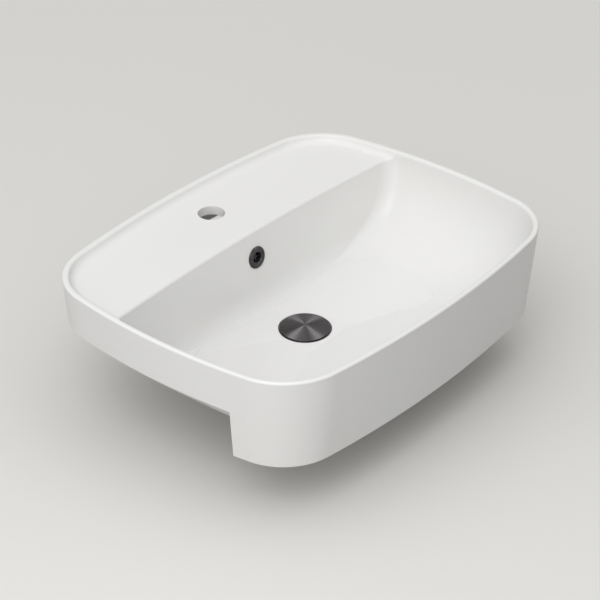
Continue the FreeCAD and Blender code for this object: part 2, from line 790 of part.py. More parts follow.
def make_overflow_and_tap_hole(body):
    """The overflow's hole, chamber and passage, and the single tap hole."""
    passage = [
        (WASTE_Y, PASSAGE_FLOOR),
        (CHAMBER_BACK, PASSAGE_FLOOR),
        (CHAMBER_BACK, CHAMBER_TOP),
        (CHAMBER_FRONT, CHAMBER_TOP),
        (CHAMBER_FRONT, PASSAGE_ROOF),
        (WASTE_Y, PASSAGE_ROOF),
    ]
    passage_profile = polygon(body, "passage_profile", "YZ_Plane", passage)
    pocket(body, "overflow_passage", passage_profile, "Sizes.chamber_width", both_ways=True)
    reach = "(Sizes.overflow_wall + Sizes.chamber_gap / 2)"
    bore_back_wall(body, "overflow_hole", half("overflow_hole_diameter"), reach)
    seat_radius = f"({half('trim_diameter')} + Sizes.trim_seat_clearance)"
    bore_back_wall(body, "trim_seat", seat_radius, "0")
    tap = circle(body, "tap_hole_circle", RIM, TAP_Y, half("tap_hole_diameter"))
    pocket(body, "tap_hole", tap, f"Sizes.ledge_drop + Sizes.ceramic_wall + {PAST}")


def make_basin():
    """One fired piece: skirt, ledge, bowl, floor, boss and overflow duct."""
    body = new_body("basin")
    make_skirt_and_bowl(body)
    make_under_parts(body, make_underside())
    make_waste_opening(body)
    make_overflow_and_tap_hole(body)
    return body


# ---------------------------------------------------------------- the overflow trim
def seat_on_back_wall(body):
    """Stands a body's own upright axis square to the bowl's back wall, at the overflow."""
    body.Placement = Placement(Vector(), Rotation(Vector(1, 0, 0), 90))
    body.setExpression("Placement.Rotation.Angle", "90 deg - atan(Sizes.back_wall_slope)")
    body.setExpression("Placement.Base.y", OVERFLOW_Y)
    body.setExpression("Placement.Base.z", below("Sizes.overflow_drop"))
    doc.recompute()


def make_overflow_ring():
    """The metal ring round the overflow hole, with the barrel that enters the ceramic."""
    outer = half("trim_diameter")
    barrel = half("trim_barrel_diameter")
    inner = f"({barrel} - Sizes.trim_barrel_wall)"
    thick = size("trim_thickness")
    points = [
        (half("trim_bore"), "0"),
        (inner, "0"),
        (inner, "-Sizes.trim_barrel_length"),
        (barrel, "-Sizes.trim_barrel_length"),
        (barrel, "0"),
        (outer, "0"),
        (outer, f"{thick} / 3"),
        (f"{outer} - {thick} / 2", thick),
        (f"{half('trim_bore')} + {thick} / 2", thick),
        (half("trim_bore"), f"{thick} / 2"),
    ]
    body = turned("overflow_ring", points)
    seat_on_back_wall(body)
    return body


def make_overflow_clip():
    """The sprung sleeve inside the ring's barrel, with four barbed tongues and a cross rib."""
    outer = "(Sizes.trim_barrel_diameter / 2 - Sizes.trim_barrel_wall - Sizes.loose_fit)"
    inner = f"({outer} - Sizes.clip_wall)"
    top = "-Sizes.loose_fit"
    lean = f"({outer} + Sizes.clip_barb) * Sizes.back_wall_slope"
    hook = f"-(Sizes.overflow_wall * {WALL_LEAN} ^ 2 + {lean} + Sizes.stop_gap)"
    foot = f"({hook} - Sizes.clip_barb_length)"
    points = [
        (inner, top),
        (outer, top),
        (outer, hook),
        (f"{outer} + Sizes.clip_barb", hook),
        (outer, foot),
        (inner, foot),
    ]
    body = turned("overflow_clip", points)
    rib = half("clip_rib")
    reach = f"({outer} - Sizes.clip_wall / 2)"
    for name, x, y in (("rib_across", reach, rib), ("rib_upright", rib, reach)):
        corners = [(f"-({x})", f"-({y})"), (x, f"-({y})"), (x, y), (f"-({x})", y)]
        bar = polygon(body, f"{name}_profile", "XY_Plane", corners, f"{top} - 2 * Sizes.clip_rib")
        pad(body, name, bar, "Sizes.clip_rib")
    doc.recompute()
    slot_outer = half("trim_diameter")
    slot = [("0", f"-({rib})"), (slot_outer, f"-({rib})"), (slot_outer, rib), ("0", rib)]
    start = f"{top} - 4 * Sizes.clip_rib"
    slot_profile = polygon(body, "slot_profile", "XY_Plane", slot, start)
    cut = pocket(body, "tongue_slot", slot_profile, f"Sizes.overflow_wall + {PAST}")
    ring_pattern(body, "tongue_slots", cut, 4)
    seat_on_back_wall(body)
    return body


# ---------------------------------------------------------------- the waste, from its seat up
# Heights are measured from the ceramic seat under the flange.
FLANGE_FOOT = size("flange_gasket_thickness")
FLANGE_TOP = f"({FLANGE_FOOT} + Sizes.flange_thickness)"
CAP_FOOT = f"({FLANGE_TOP} + Sizes.cap_gap)"
CORE_FOOT = f"({CAP_FOOT} - Sizes.core_height)"
NUT_FOOT = f"({CORE_FOOT} - Sizes.lock_nut_height)"
SLEEVE_TOP = f"({NUT_FOOT} - Sizes.push_clearance)"
HOUSING_TOP = f"({SLEEVE_TOP} - Sizes.sleeve_flange)"
SPIGOT_FOOT = f"({HOUSING_TOP} - Sizes.sleeve_spigot)"
ROTOR_TOP = f"({SPIGOT_FOOT} - Sizes.plug_travel - Sizes.stop_gap)"
ROTOR_FOOT = f"({ROTOR_TOP} - Sizes.rotor_height)"
SHOULDER = f"({ROTOR_TOP} + Sizes.shaft_play)"
CLIP_TOP = f"({ROTOR_FOOT} - Sizes.shaft_play)"
CLIP_FOOT = f"({CLIP_TOP} - Sizes.clip_ring_thickness)"
SPRING_FOOT = f"({ROTOR_FOOT} - Sizes.spring_height)"
HOUSING_FOOT = f"({SPRING_FOOT} - Sizes.housing_wall)"
SPIDER_TOP = "(-Sizes.spider_drop)"
SPIDER_FOOT = f"({SPIDER_TOP} - Sizes.spider_height)"
TAIL_RADIUS = half("tail_diameter")
THROAT_RADIUS = f"({TAIL_RADIUS} - Sizes.tail_wall)"
HOUSING_RADIUS = half("housing_diameter")
HOUSING_BORE = f"({HOUSING_RADIUS} - Sizes.housing_wall)"
UNDERSIDE = "(-Sizes.boss_thickness)"
SPINDLE_RADIUS = half("spindle_diameter")
SPINDLE_END = half("spindle_end_diameter")
SEAL_HALF = half("seal_thickness")
SEAL_LEVEL = f"({CORE_FOOT} + Sizes.core_height / 3)"
SEAL_RADIUS = f"({THROAT_RADIUS} - Sizes.seal_fit - {SEAL_HALF})"


def make_waste_body():
    """Flange, slotted tail and the spider that holds the cartridge.

    A groove parts the tail's upper thread, for the backnut, from the trap's thread.
    """
    break_edge = "(Sizes.flange_thickness / 2)"
    trap_end = "(Sizes.trap_thread_length - Sizes.tail_length)"
    groove_end = f"({trap_end} + Sizes.tail_groove_width)"
    points = [
        (THROAT_RADIUS, "-Sizes.tail_length"),
        (TAIL_RADIUS, "-Sizes.tail_length"),
        (TAIL_RADIUS, trap_end),
        (f"{TAIL_RADIUS} - Sizes.tail_groove_depth", trap_end),
        (f"{TAIL_RADIUS} - Sizes.tail_groove_depth", groove_end),
        (TAIL_RADIUS, groove_end),
        (TAIL_RADIUS, FLANGE_FOOT),
        (half("flange_diameter"), FLANGE_FOOT),
        (half("flange_diameter"), f"{FLANGE_TOP} - {break_edge} / 2"),
        (f"{half('flange_diameter')} - {break_edge} / 2", FLANGE_TOP),
        (f"{THROAT_RADIUS} + {break_edge}", FLANGE_TOP),
        (THROAT_RADIUS, f"{FLANGE_TOP} - {break_edge}"),
    ]
    body = turned("waste_body", points)
    hub_bore = f"({HOUSING_RADIUS} + Sizes.loose_fit)"
    hub_radius = f"({hub_bore} + Sizes.spider_hub_wall)"
    hub = circle(body, "hub_circle", SPIDER_FOOT, "0", hub_radius)
    rib_end = f"({THROAT_RADIUS} + Sizes.tail_wall / 2)"
    rib_half = half("spider_rib")
    rib = [("0", f"-{rib_half}"), (rib_end, f"-{rib_half}"), (rib_end, rib_half), ("0", rib_half)]
    rib_profile = polygon(body, "rib_profile", "XY_Plane", rib, SPIDER_FOOT)
    ribs = pad(body, "spider_rib", rib_profile, "Sizes.spider_height")
    ring_pattern(body, "spider_ribs", ribs, 3)
    pad(body, "spider_hub", hub, "Sizes.spider_height")
    doc.recompute()
    bore = circle(body, "hub_bore_circle", f"{SPIDER_TOP} + {PAST}", "0", hub_bore)
    pocket(body, "hub_bore", bore, f"Sizes.spider_height + 2 * {PAST}")
    slot_half = half("tail_slot_width")
    slot_reach = f"({TAIL_RADIUS} + {PAST})"
    slot = [("0", f"-{slot_half}"), (slot_reach, f"-{slot_half}"), (slot_reach, slot_half)]
    slot.append(("0", slot_half))
    slot_profile = polygon(body, "slot_profile", "XY_Plane", slot, "-Sizes.tail_slot_drop")
    cut = pocket(body, "tail_slot", slot_profile, "Sizes.tail_slot_height")
    ring_pattern(body, "tail_slots", cut, 4)
    return body


def make_washer(name, bore, outer, foot, top):
    """A flat ring round the waste axis."""
    return turned(name, [(bore, foot), (outer, foot), (outer, top), (bore, top)])


def make_clamping_rings():
    """The gasket under the flange and the rings and nut that clamp the tail from below."""
    flange_edge = "(Sizes.flange_diameter / 2 - Sizes.flange_recess_clearance)"
    hole = half("waste_hole_diameter")
    make_washer("flange_gasket", hole, flange_edge, "0", FLANGE_FOOT)

    on_tail = f"({TAIL_RADIUS} + Sizes.loose_fit)"
    washer_foot = f"({UNDERSIDE} - Sizes.lower_washer_thickness)"
    washer_edge = half("lower_washer_diameter")
    spigot = f"({hole} - Sizes.loose_fit)"
    points = [
        (on_tail, washer_foot),
        (washer_edge, washer_foot),
        (f"{washer_edge} - Sizes.lower_washer_thickness / 2", UNDERSIDE),
        (spigot, UNDERSIDE),
        (f"{on_tail} + ({spigot} - {on_tail}) / 2", f"{UNDERSIDE} + Sizes.lower_washer_spigot"),
        (on_tail, f"{UNDERSIDE} + Sizes.lower_washer_spigot"),
    ]
    turned("lower_washer", points)

    slip_foot = f"({washer_foot} - Sizes.slip_washer_thickness)"
    make_washer("slip_washer", on_tail, washer_edge, slip_foot, washer_foot)

    nut_foot = f"({slip_foot} - Sizes.backnut_height)"
    nut_on_tail = f"({TAIL_RADIUS} + Sizes.slide_fit)"
    make_hexagon("backnut", "backnut_across_flats", nut_on_tail, nut_foot, "Sizes.backnut_height")


def make_hexagon(name, across_flats, bore, foot, height):
    """A hexagon nut with a plain bore and chamfered corners, on the waste axis."""
    body = new_body(name, below(SEAT_DEPTH), WASTE_Y)
    reach = f"(Sizes.{across_flats} / 2 / cos(30 deg))"
    corners = []
    for step in range(6):
        corners.append((f"{reach} * cos({60 * step} deg)", f"{reach} * sin({60 * step} deg)"))
    hexagon = polygon(body, f"{name}_hexagon", "XY_Plane", corners, foot)
    pad(body, f"{name}_block", hexagon, height)
    doc.recompute()
    hole = circle(body, f"{name}_bore_circle", f"{foot} + {height}", "0", bore)
    pocket(body, f"{name}_bore", hole, height)
    return body


# ---------------------------------------------------------------- the cartridge
def make_cartridge():
    """The push-open cartridge: housing, sleeve, cam rotor, retaining ring and spring."""
    collar = f"({HOUSING_RADIUS} + Sizes.spider_hub_wall)"
    collar_top = f"({SPIDER_TOP} + Sizes.sleeve_flange)"
    drain = half("spindle_end_diameter")
    points = [
        (drain, HOUSING_FOOT),
        (HOUSING_RADIUS, HOUSING_FOOT),
        (HOUSING_RADIUS, SPIDER_TOP),
        (collar, SPIDER_TOP),
        (collar, collar_top),
        (HOUSING_RADIUS, collar_top),
        (HOUSING_RADIUS, HOUSING_TOP),
        (HOUSING_BORE, HOUSING_TOP),
        (HOUSING_BORE, SPRING_FOOT),
        (drain, SPRING_FOOT),
    ]
    turned("cartridge_housing", points)

    guide = f"({SPINDLE_RADIUS} + Sizes.slide_fit)"
    spigot = f"({HOUSING_BORE} - Sizes.slide_fit)"
    points = [
        (guide, SPIGOT_FOOT),
        (spigot, SPIGOT_FOOT),
        (spigot, HOUSING_TOP),
        (HOUSING_RADIUS, HOUSING_TOP),
        (HOUSING_RADIUS, SLEEVE_TOP),
        (guide, SLEEVE_TOP),
    ]
    sleeve = turned("cartridge_sleeve", points)
    latch_half = half("clip_rib")
    latch_inner = f"({guide} + Sizes.housing_wall / 2)"
    latch = [
        (latch_inner, f"-{latch_half}"),
        (f"{HOUSING_RADIUS}", f"-{latch_half}"),
        (f"{HOUSING_RADIUS}", latch_half),
        (latch_inner, latch_half),
    ]
    latch_profile = polygon(sleeve, "latch_profile", "XY_Plane", latch, SPIGOT_FOOT)
    notch = pocket(
        sleeve, "latch_notch", latch_profile, "Sizes.sleeve_spigot / 2", reverse=True
    )
    ring_pattern(sleeve, "latch_notches", notch, 8)

    rotor_bore = f"({SPINDLE_END} + Sizes.slide_fit)"
    rotor_edge = f"({HOUSING_BORE} - Sizes.loose_fit)"
    rotor = make_washer("cam_rotor", rotor_bore, rotor_edge, ROTOR_FOOT, ROTOR_TOP)
    groove_inner = f"({rotor_bore} + Sizes.housing_wall)"
    groove = [
        (groove_inner, f"-{latch_half}"),
        (HOUSING_RADIUS, f"-{latch_half}"),
        (HOUSING_RADIUS, latch_half),
        (groove_inner, latch_half),
    ]
    groove_profile = polygon(rotor, "cam_profile", "XY_Plane", groove, ROTOR_TOP)
    tooth = pocket(rotor, "cam_groove", groove_profile, "Sizes.rotor_height / 3")
    ring_pattern(rotor, "cam_grooves", tooth, 8)

    groove_radius = f"({SPINDLE_END} - Sizes.clip_ring_thickness / 2)"
    ring_bore = f"({groove_radius} + Sizes.slide_fit)"
    ring_edge = half("clip_ring_diameter")
    make_washer("retaining_ring", ring_bore, ring_edge, CLIP_FOOT, CLIP_TOP)
    make_spring()


def helix_point(radius, pitch_at, turn):
    """A point on the spring's centre line, by turns from its foot."""
    angle = 2 * math.pi * turn
    return Vector(radius * math.cos(angle), radius * math.sin(angle), pitch_at(turn))


def biarc(start, start_way, end, end_way):
    """Two tangent arcs from start to end that leave and arrive along the given directions."""
    span = end - start
    both = start_way + end_way
    square = 2 * (1 - start_way.dot(end_way))
    along = span.dot(both)
    root = math.sqrt(along ** 2 + square * span.dot(span))
    reach = (root - along) / square
    first = start + start_way * reach
    second = end - end_way * reach
    join = (first + second) / 2

    def arc(tail, corner, head):
        chord = (tail + head) / 2
        rise = corner - chord
        slope = math.atan2(rise.Length, (head - tail).Length / 2)
        sagitta = (head - tail).Length / 2 * math.tan(slope / 2)
        return Part.Arc(tail, chord + rise * (sagitta / rise.Length), head).toShape()

    return [arc(start, first, join), arc(join, second, end)]


def make_spring():
    """The return spring: one unbroken wire, its end turns closed up."""
    wire = value(size("spring_wire"))
    radius = value(half("spring_diameter"))
    turns = value(size("spring_turns"))
    end_gap = value(size("slide_fit"))
    height = value(size("spring_height")) - wire - 2 * end_gap
    closed = wire * value(size("spring_end_pitch"))
    open_pitch = (height - 2 * closed) / (turns - 2)

    def level(turn):
        if turn <= 1:
            return closed * turn
        if turn >= turns - 1:
            return height - closed * (turns - turn)
        return closed + open_pitch * (turn - 1)

    def direction(turn):
        angle = 2 * math.pi * turn
        rise = level(min(turn + NUDGE, turns)) - level(max(turn - NUDGE, 0))
        rise = rise / (2 * NUDGE)
        way = Vector(-math.sin(angle), math.cos(angle), rise / (2 * math.pi * radius))
        return way / way.Length

    edges = []
    steps = int(round(turns * QUARTERS))
    for step in range(steps):
        start = step * turns / steps
        end = (step + 1) * turns / steps
        edges += biarc(
            helix_point(radius, level, start),
            direction(start),
            helix_point(radius, level, end),
            direction(end),
        )
    path = Part.Wire(edges)
    section = Part.Wire(Part.Circle(helix_point(radius, level, 0), direction(0), wire / 2).toShape())
    coil = path.makePipeShell([section], True, False)
    spring = doc.addObject("Part::Feature", "return_spring")
    spring.Label = "return_spring"
    spring.Shape = coil
    rise = value(below(SEAT_DEPTH)) + value(SPRING_FOOT) + wire / 2 + end_gap
    foot = Vector(0, value(WASTE_Y), rise)
    spring.Placement = Placement(foot, Rotation())
    gaps = []
    count = int(turns * SAMPLES) + 1
    samples = [helix_point(radius, level, index / SAMPLES) for index in range(count)]
    for index, point in enumerate(samples):
        for other in samples[index + SAMPLES // 2:]:
            gaps.append((point - other).Length - wire)
    print("return_spring: least gap between turns", round(min(gaps), 3), "mm")
    length_check = coil.Volume / (math.pi * (wire / 2) ** 2 * path.Length)
    print("return_spring: volume over section times length", round(length_check, 4))


# ---------------------------------------------------------------- the plug
def make_plug():
    """Cap, plastic core, seal, spindle and lock nut: what rises when the plug opens."""
    cap_radius = half("cap_diameter")
    cap_side = f"({CAP_FOOT} + Sizes.cap_edge)"
    break_edge = "(Sizes.cap_edge / 4)"
    points = [
        ("0", CAP_FOOT),
        (f"{cap_radius} - {break_edge}", CAP_FOOT),
        (cap_radius, f"{CAP_FOOT} + {break_edge}"),
        (cap_radius, f"{cap_side} - {break_edge}"),
        (f"{cap_radius} - {break_edge}", cap_side),
        ("0", f"{cap_side} + Sizes.cap_rise"),
    ]
    turned("plug_cap", points)

    core_radius = half("core_diameter")
    groove_half = f"({SEAL_HALF} + Sizes.loose_fit)"
    groove_radius = f"({SEAL_RADIUS} - {SEAL_HALF} - Sizes.loose_fit)"
    bore = f"({SPINDLE_RADIUS} + Sizes.slide_fit)"
    bore_top = f"({CAP_FOOT} - Sizes.housing_wall)"
    points = [
        ("0", CAP_FOOT),
        ("0", bore_top),
        (bore, bore_top),
        (bore, CORE_FOOT),
        (f"{core_radius} - {break_edge}", CORE_FOOT),
        (f"{core_radius} - {break_edge}", f"{SEAL_LEVEL} - {groove_half}"),
        (groove_radius, f"{SEAL_LEVEL} - {groove_half}"),
        (groove_radius, f"{SEAL_LEVEL} + {groove_half}"),
        (core_radius, f"{SEAL_LEVEL} + {groove_half}"),
        (core_radius, CAP_FOOT),
    ]
    turned("plug_core", points)

    seal = doc.addObject("Part::Torus", "plug_seal")
    seal.Label = "plug_seal"
    seal.setExpression("Radius1", SEAL_RADIUS)
    seal.setExpression("Radius2", SEAL_HALF)
    seal.setExpression("Placement.Base.y", WASTE_Y)
    seal.setExpression("Placement.Base.z", f"{below(SEAT_DEPTH)} + {SEAL_LEVEL}")

    groove_depth = "(Sizes.clip_ring_thickness / 2)"
    end = f"({CLIP_FOOT} - Sizes.clip_ring_thickness)"
    points = [
        ("0", f"{bore_top} - Sizes.loose_fit"),
        (SPINDLE_RADIUS, f"{bore_top} - Sizes.loose_fit"),
        (SPINDLE_RADIUS, SHOULDER),
        (SPINDLE_END, SHOULDER),
        (SPINDLE_END, f"{CLIP_TOP} + Sizes.slide_fit"),
        (f"{SPINDLE_END} - {groove_depth}", f"{CLIP_TOP} + Sizes.slide_fit"),
        (f"{SPINDLE_END} - {groove_depth}", f"{CLIP_FOOT} - Sizes.slide_fit"),
        (SPINDLE_END, f"{CLIP_FOOT} - Sizes.slide_fit"),
        (SPINDLE_END, end),
        ("0", end),
    ]
    turned("plug_spindle", points)
    nut_bore = f"({SPINDLE_RADIUS} + Sizes.slide_fit)"
    make_hexagon(
        "lock_nut", "lock_nut_across_flats", nut_bore, NUT_FOOT, "Sizes.lock_nut_height"
    )


# ---------------------------------------------------------------- build, check and write
NODES = (
    "basin",
    "overflow_ring",
    "overflow_clip",
    "flange_gasket",
    "waste_body",
    "lower_washer",
    "slip_washer",
    "backnut",
    "cartridge_housing",
    "cartridge_sleeve",
    "cam_rotor",
    "retaining_ring",
    "return_spring",
    "plug_spindle",
    "lock_nut",
    "plug_core",
    "plug_seal",
    "plug_cap",
)

make_basin()
make_overflow_ring()
make_overflow_clip()
make_waste_body()
make_clamping_rings()
make_cartridge()
make_plug()
doc.recompute()

for item in doc.Objects:
    if "Invalid" in item.State or "Error" in item.State:
        raise ValueError(f"{item.Name} failed: {item.State}")
for node in NODES:
    shape = doc.getObject(node).Shape
    if shape.isNull() or not shape.isValid() or len(shape.Solids) != 1:
        raise ValueError(f"{node} is not one sound solid")
for node in NODES:
    doc.getObject(node).Shape.exportStep(f"parts/{node}.step")
    box = doc.getObject(node).Shape.BoundBox
    volume = doc.getObject(node).Shape.Volume / 1000
    print(node, round(volume, 2), "cm3, z", round(box.ZMin, 2), "to", round(box.ZMax, 2))
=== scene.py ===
"""Semi recessed basin: glazed bowl, overflow trim and push-open waste, dressed for the render."""

import logging
import math
from dataclasses import dataclass, field
from enum import Enum
from typing import Any, Sequence

import bmesh
import bpy
from mathutils import Matrix, Vector


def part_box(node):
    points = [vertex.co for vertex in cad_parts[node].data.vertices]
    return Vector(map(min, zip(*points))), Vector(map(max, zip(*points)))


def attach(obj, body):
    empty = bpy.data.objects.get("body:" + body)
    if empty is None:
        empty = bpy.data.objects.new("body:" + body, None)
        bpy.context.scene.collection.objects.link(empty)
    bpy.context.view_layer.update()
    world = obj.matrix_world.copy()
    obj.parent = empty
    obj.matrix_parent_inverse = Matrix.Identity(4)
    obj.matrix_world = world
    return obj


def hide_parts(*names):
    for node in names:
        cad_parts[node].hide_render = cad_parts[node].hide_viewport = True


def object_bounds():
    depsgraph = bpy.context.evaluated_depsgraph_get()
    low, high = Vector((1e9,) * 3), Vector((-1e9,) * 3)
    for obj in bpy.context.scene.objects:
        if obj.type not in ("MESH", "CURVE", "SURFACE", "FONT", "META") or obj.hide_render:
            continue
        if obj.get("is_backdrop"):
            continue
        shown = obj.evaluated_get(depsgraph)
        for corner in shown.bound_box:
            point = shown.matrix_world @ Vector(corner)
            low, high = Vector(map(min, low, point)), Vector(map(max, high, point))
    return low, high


LOG = logging.getLogger("basin")
MM = 0.001
RIM_HEIGHT = 58.0 * MM
ROUND_SEGMENTS = 160
SHARP_ANGLE = math.radians(35.0)
MERGE_DISTANCE = 0.001 * MM
ACROSS_THE_AXIS = (1.0, 1.0, 0.0)

Point = tuple[float, float, float]

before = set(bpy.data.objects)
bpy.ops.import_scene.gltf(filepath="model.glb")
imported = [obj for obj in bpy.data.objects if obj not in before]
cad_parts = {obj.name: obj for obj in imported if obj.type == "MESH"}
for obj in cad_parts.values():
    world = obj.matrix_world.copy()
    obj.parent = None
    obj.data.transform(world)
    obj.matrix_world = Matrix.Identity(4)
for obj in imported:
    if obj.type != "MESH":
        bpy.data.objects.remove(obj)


class Slot(Enum):
    """The record's material slots that the added pieces are listed with."""

    TRIM = "gunmetal_trim"
    GUNMETAL = "gunmetal_brass"


class Body(Enum):
    """The bodies that the added pieces ride on."""

    BASIN = "basin"
    PLUG = "plug"


# ---------------------------------------------------------------- colours and nodes
def linear(hex_colour: str) -> tuple[float, float, float, float]:
    """Turns an sRGB hex colour into the linear values that shaders use.

    Args:
        hex_colour: Six hex digits, such as "E9E9E7".

    Returns:
        Linear red, green, blue and an alpha of 1.
    """
    channels = [int(hex_colour[i:i + 2], 16) / 255 for i in (0, 2, 4)]
    curved = [c / 12.92 if c <= 0.04045 else ((c + 0.055) / 1.055) ** 2.4 for c in channels]
    return (*curved, 1.0)


def add_node(
    tree: bpy.types.NodeTree,
    kind: str,
    settings: dict[str, Any] | None = None,
    inputs: dict[str | int, Any] | None = None,
) -> bpy.types.Node:
    """Adds one node with its settings and links.

    Args:
        tree: The tree that gets the node.
        kind: The node's type name.
        settings: Properties of the node itself.
        inputs: Input sockets by name or number: an output socket is linked, a value is set.

    Returns:
        The new node.
    """
    node = tree.nodes.new(kind)
    for name, setting in (settings or {}).items():
        setattr(node, name, setting)
    for name, entry in (inputs or {}).items():
        if isinstance(entry, bpy.types.NodeSocket):
            tree.links.new(entry, node.inputs[name])
        else:
            node.inputs[name].default_value = entry
    return node


def seen_as_background(tree: bpy.types.NodeTree) -> bpy.types.NodeSocket:
    """Finds the rays that show the background: to the camera, in metal and through glass.

    Args:
        tree: The node tree of the floor or the world.

    Returns:
        A socket that is 1 for those rays and 0 for the rays that light the object.
    """
    path = add_node(tree, "ShaderNodeLightPath")
    mirrored = add_node(tree, "ShaderNodeMath", {"operation": "MAXIMUM"}, {
        0: path.outputs["Is Camera Ray"], 1: path.outputs["Is Glossy Ray"]})
    shown = add_node(tree, "ShaderNodeMath", {"operation": "MAXIMUM"}, {
        0: mirrored.outputs[0], 1: path.outputs["Is Transmission Ray"]})
    return shown.outputs[0]


# ---------------------------------------------------------------- the finishes
class Finish:
    """A finish that knows how to build its own node material."""

    name: str

    def build(self) -> bpy.types.Material:
        """Makes the material with an empty node tree and lets the finish fill it."""
        material = bpy.data.materials.new(self.name)
        material.use_nodes = True
        tree = material.node_tree
        tree.nodes.clear()
        shader = self.shade(tree)
        add_node(tree, "ShaderNodeOutputMaterial", inputs={"Surface": shader.outputs[0]})
        return material

    def shade(self, tree: bpy.types.NodeTree) -> bpy.types.Node:
        """Adds the finish's nodes and returns its shader."""
        raise NotImplementedError


@dataclass(frozen=True)
class VitreousGlaze(Finish):
    """Vitreous china under a clear gloss glaze, sprayed and fired.

    It gives the eye an almost even white with soft reflections. The glaze flows in low waves
    some 20 mm long, and its colour drifts a little over a hand's breadth.
    """

    name: str = "vitreous_china_white_gloss_glaze"
    colour: str = "E4E4E3"
    warm_colour: str = "E2E1DF"
    cloud_size: float = 180 * MM
    cloud_detail: float = 2.0
    wave_length: float = 22 * MM
    wave_detail: float = 1.0
    wave_depth: float = 0.3 * MM
    wave_strength: float = 0.03
    roughness: float = 0.3
    roughness_drift: float = 0.03
    refraction: float = 1.5

    def shade(self, tree: bpy.types.NodeTree) -> bpy.types.Node:
        """A nearly even white whose glaze is a little uneven, as sprayed glaze is."""
        place = add_node(tree, "ShaderNodeTexCoord").outputs["Object"]
        clouds = add_node(tree, "ShaderNodeTexNoise", inputs={
            "Vector": place, "Scale": 1 / self.cloud_size, "Detail": self.cloud_detail})
        colour = add_node(tree, "ShaderNodeMix", {"data_type": "RGBA"}, {
            0: clouds.outputs["Fac"], 6: linear(self.colour), 7: linear(self.warm_colour)})
        waves = add_node(tree, "ShaderNodeTexNoise", inputs={
            "Vector": place, "Scale": 1 / self.wave_length, "Detail": self.wave_detail})
        rough = add_node(tree, "ShaderNodeMapRange", inputs={
            "Value": waves.outputs["Fac"], "To Min": self.roughness - self.roughness_drift,
            "To Max": self.roughness + self.roughness_drift})
        bump = add_node(tree, "ShaderNodeBump", inputs={
            "Height": waves.outputs["Fac"], "Strength": self.wave_strength,
            "Distance": self.wave_depth})
        return add_node(tree, "ShaderNodeBsdfPrincipled", inputs={
            "Base Color": colour.outputs[2], "Roughness": rough.outputs[0],
            "IOR": self.refraction, "Normal": bump.outputs[0]})


@dataclass(frozen=True)
class SpunGunmetal(Finish):
    """Gunmetal plating on spun brass.

    Fine turning rings round the middle smear the light into bright fans that cross the dark
    face. Real rings stand about 0.1 mm apart. They are drawn 0.45 mm apart, as fine as shows.
    The rings lie round centre, and tilt leans their axis back from upright.
    """

    name: str = "spun_gunmetal_plating"
    colour: str = "545253"
    ring_pitch: float = 0.45 * MM
    ring_detail: float = 3.0
    ring_depth: float = 0.03 * MM
    ring_strength: float = 0.12
    centre: Point = (0.0, 0.0, 0.0)
    tilt: float = 0.0
    roughness: float = 0.42
    roughness_drift: float = 0.06
    anisotropy: float = 0.98

    def shade(self, tree: bpy.types.NodeTree) -> bpy.types.Node:
        """Rings round the piece's axis; the light smears across them, outward from the middle."""
        place = add_node(tree, "ShaderNodeTexCoord").outputs["Object"]
        centred = add_node(tree, "ShaderNodeMapping", {"vector_type": "TEXTURE"}, {
            "Vector": place, "Location": self.centre, "Rotation": (self.tilt, 0.0, 0.0)})
        flat = add_node(tree, "ShaderNodeVectorMath", {"operation": "MULTIPLY"}, {
            0: centred.outputs[0], 1: ACROSS_THE_AXIS})
        radius = add_node(tree, "ShaderNodeVectorMath", {"operation": "LENGTH"}, {
            0: flat.outputs[0]})
        rings = add_node(tree, "ShaderNodeTexNoise", {"noise_dimensions": "1D"}, {
            "W": radius.outputs["Value"], "Scale": 1 / self.ring_pitch,
            "Detail": self.ring_detail})
        rough = add_node(tree, "ShaderNodeMapRange", inputs={
            "Value": rings.outputs["Fac"], "To Min": self.roughness - self.roughness_drift,
            "To Max": self.roughness + self.roughness_drift})
        bump = add_node(tree, "ShaderNodeBump", inputs={
            "Height": rings.outputs["Fac"], "Strength": self.ring_strength,
            "Distance": self.ring_depth})
        outward = add_node(tree, "ShaderNodeVectorRotate", {"rotation_type": "X_AXIS"}, {
            "Vector": flat.outputs[0], "Angle": self.tilt})
        return add_node(tree, "ShaderNodeBsdfPrincipled", inputs={
            "Base Color": linear(self.colour), "Metallic": 1.0, "Roughness": rough.outputs[0],
            "Anisotropic": self.anisotropy, "Tangent": outward.outputs[0],
            "Normal": bump.outputs[0]})


